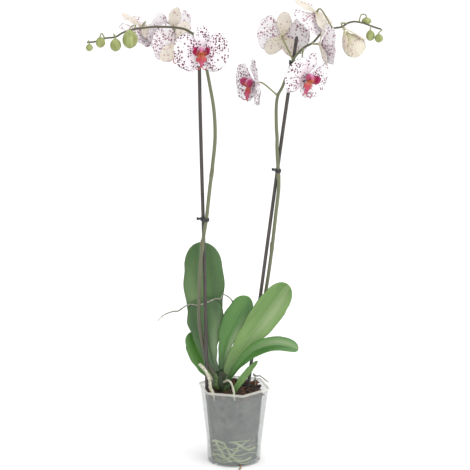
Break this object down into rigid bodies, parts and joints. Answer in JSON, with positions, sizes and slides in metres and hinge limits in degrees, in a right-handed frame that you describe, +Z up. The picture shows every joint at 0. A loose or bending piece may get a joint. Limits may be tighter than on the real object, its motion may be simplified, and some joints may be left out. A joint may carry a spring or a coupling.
{
  "type": "potted orchid",
  "caption": "Moth orchid with two staked flower spikes, spotted open flowers and buds, strap leaves and aerial roots, in a clear tapered pot that rests on its base.",
  "frame": {"origin": "centre of the underside of the pot, on the surface it stands on", "axes": "+Z up along the pot; -Y is the front, the way the large open flower of the left spike looks; +X is to the right seen from the front"},
  "size_m": [0.453, 0.1803, 0.7313],
  "materials": {
    "clear_pot": "thin clear plastic, slightly hazy",
    "bark_medium": "rough moist bark chips",
    "stake": "dark stained stick, satin",
    "clip": "black moulded plastic",
    "stem": "olive green plant stem, browner towards the tips",
    "crown": "green plant stem base",
    "leaf": "fleshy leaf, soft waxy sheen, paler underneath",
    "sepal": "white, crimson spots, cream-green back",
    "petal": "white with crimson spots",
    "lip": "crimson and magenta with an orange-yellow throat",
    "bud": "yellow-green bud",
    "aerial_root": "silvery dry root skin",
    "pot_root": "moist green root",
    "dry_root": "thin brown dry root"
  },
  "bodies": {
    "root": {"pot": "clear_pot", "stake_left": "stake", "stake_right": "stake", "flower_a_sepals": "sepal", "flower_a_petals": "petal", "flower_a_lip": "lip", "flower_b_sepals": "sepal", "flower_b_petals": "petal", "flower_b_lip": "lip", "flower_c_sepals": "sepal", "flower_c_petals": "petal", "flower_c_lip": "lip", "flower_d_sepals": "sepal", "flower_d_petals": "petal", "flower_d_lip": "lip", "flower_e_sepals": "sepal", "flower_e_petals": "petal", "flower_e_lip": "lip", "flower_f_sepals": "sepal", "flower_f_petals": "petal", "flower_f_lip": "lip", "flower_g_sepals": "sepal", "flower_g_petals": "petal", "flower_g_lip": "lip", "flower_h_sepals": "sepal", "flower_h_petals": "petal", "flower_h_lip": "lip", "flower_i_sepals": "sepal", "flower_i_petals": "petal", "flower_i_lip": "lip", "flower_j_sepals": "sepal", "flower_j_petals": "petal", "spike_left": "stem", "bud_left_1": "bud", "bud_left_2": "bud", "bud_left_3": "bud", "bud_left_4": "bud", "spike_right": "stem", "bud_right_1": "bud", "bud_right_2": "bud", "bud_right_3": "bud", "clip_left": "clip", "clip_right_low": "clip", "clip_right_high": "clip", "leaf_left_tall": "leaf", "leaf_left_inner": "leaf", "leaf_left_low": "leaf", "leaf_right_middle": "leaf", "leaf_right_large": "leaf", "leaf_right_level": "leaf", "leaf_right_young": "leaf", "root_aerial_long": "aerial_root", "root_aerial_thick": "aerial_root", "root_front": "aerial_root", "root_curled": "dry_root", "roots_in_pot_front": "pot_root", "roots_in_pot_back": "pot_root", "root_from_drain": "dry_root", "crown": "crown", "growing_medium": "bark_medium"}
  },
  "joints": []
}
